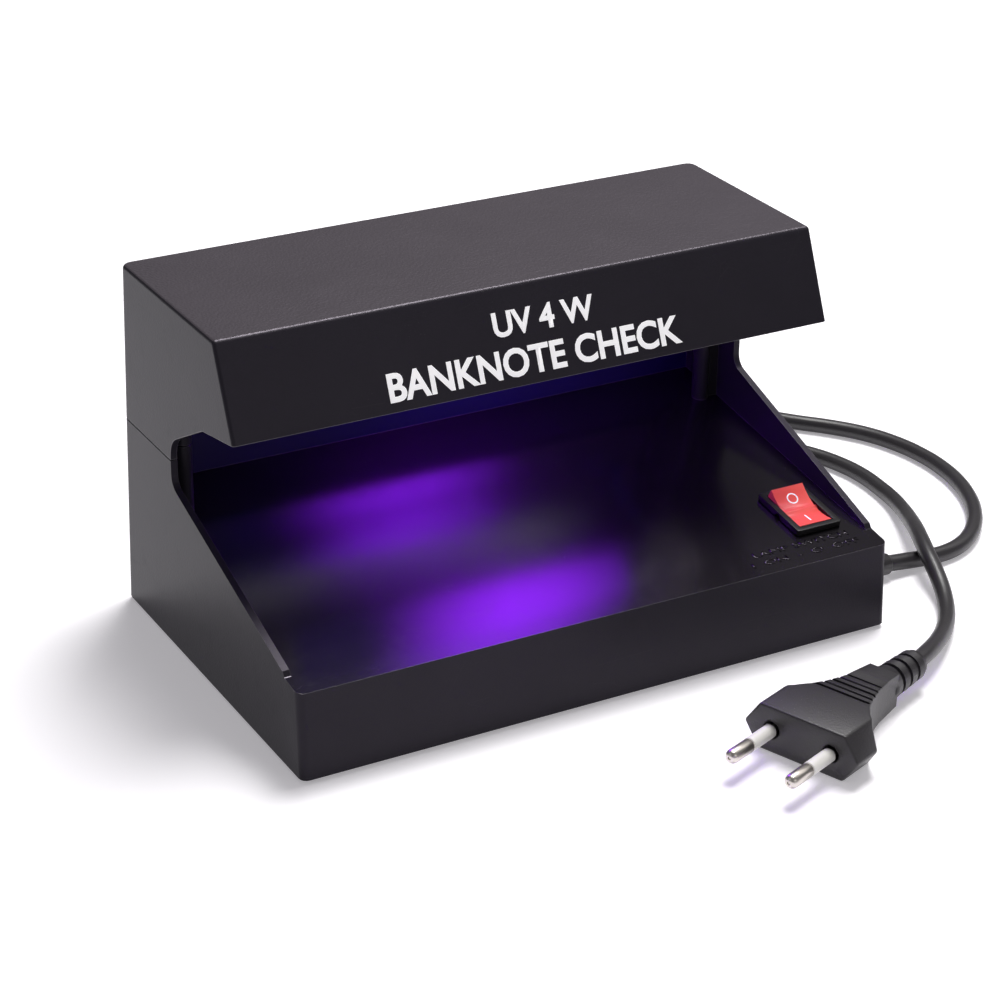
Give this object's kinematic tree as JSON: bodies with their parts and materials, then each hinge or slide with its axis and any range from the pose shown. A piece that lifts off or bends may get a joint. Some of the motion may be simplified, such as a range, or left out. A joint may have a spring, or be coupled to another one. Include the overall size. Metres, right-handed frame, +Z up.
{
  "type": "counterfeit bill detector",
  "caption": "Counter-top banknote checker: hooded case over a sloped tray, ultraviolet tube under the hood, rocker switch, side cord with a two-pin plug.",
  "frame": {"origin": "on the table under the middle of the case", "axes": "+X across the case to the right of a person facing its front, +Y from the front to the back, +Z up"},
  "size_m": [0.2639, 0.2683, 0.106],
  "materials": {
    "case_plastic": "satin, fine grain on the hood",
    "plate_plastic": "matte",
    "foot_rubber": "matte",
    "screw_steel": "zinc plated",
    "reflector_sheet": "satin",
    "white_plastic": "satin",
    "tube_glass": "dark violet filter glass",
    "cap_aluminium": "satin",
    "contact_brass": "satin",
    "switch_plastic": "satin",
    "rocker_plastic": "glossy",
    "board_paper": "matte",
    "ferrite": "matte",
    "coil_tape": "satin tape",
    "capacitor_sleeve": "satin",
    "film_red": "dipped, glossy",
    "cord_rubber": "smooth matte",
    "lead_red": "satin",
    "lead_blue": "satin",
    "pin_nickel": "nickel plated"
  },
  "bodies": {
    "case": {"lower_shell": "case_plastic", "upper_shell": "case_plastic", "base_plate": "plate_plastic", "foot_front_left": "foot_rubber", "foot_front_right": "foot_rubber", "foot_rear_left": "foot_rubber", "foot_rear_right": "foot_rubber", "base_screw_front_left": "screw_steel", "base_screw_front_right": "screw_steel", "base_screw_rear_left": "screw_steel", "base_screw_rear_right": "screw_steel", "hood_screw_left": "screw_steel", "hood_screw_right": "screw_steel", "reflector": "reflector_sheet", "reflector_screw_left": "screw_steel", "reflector_screw_right": "screw_steel", "lampholder_left": "white_plastic", "lampholder_right": "white_plastic", "switch_housing": "switch_plastic", "switch_terminal_front": "contact_brass", "switch_terminal_rear": "contact_brass", "ballast_board": "board_paper", "board_screw_left": "screw_steel", "board_screw_right": "screw_steel", "transformer_core": "ferrite", "transformer_coil": "coil_tape", "filter_capacitor": "capacitor_sleeve", "lamp_capacitor": "film_red", "transistor_left": "ferrite", "transistor_right": "ferrite", "cord_relief": "foot_rubber", "inner_cord": "cord_rubber", "cord_clamp": "white_plastic", "clamp_screw_front": "screw_steel", "clamp_screw_rear": "screw_steel", "live_lead": "lead_red", "switched_lead": "lead_red", "neutral_lead": "lead_blue", "lamp_lead_left": "lead_blue", "lamp_lead_right": "lead_blue", "power_cord_start": "cord_rubber", "power_cord_end": "cord_rubber", "power_cord_coil": "cord_rubber", "coil_tie": "white_plastic", "plug_body": "cord_rubber", "plug_sleeve_left": "white_plastic", "plug_sleeve_right": "white_plastic", "plug_pin_left": "pin_nickel", "plug_pin_right": "pin_nickel"},
    "tube": {"uv_tube_glass": "tube_glass", "tube_cap_left": "cap_aluminium", "tube_cap_right": "cap_aluminium", "tube_pin_left_front": "contact_brass", "tube_pin_left_rear": "contact_brass", "tube_pin_right_front": "contact_brass", "tube_pin_right_rear": "contact_brass", "lampholder_rotor_left": "white_plastic", "lampholder_rotor_right": "white_plastic"},
    "rocker": {"switch_rocker": "rocker_plastic"}
  },
  "joints": [
    {"name": "switch_rock", "type": "hinge", "parent": "case", "child": "rocker", "pos_m": [0.0772, -0.03454, 0.02969], "axis": [-1, 0, 0], "range_deg": [0, 20]},
    {"name": "tube_turn", "type": "hinge", "parent": "case", "child": "tube", "pos_m": [0, 0.013, 0.0895], "axis": [1, 0, 0], "range_deg": [0, 90]}
  ]
}
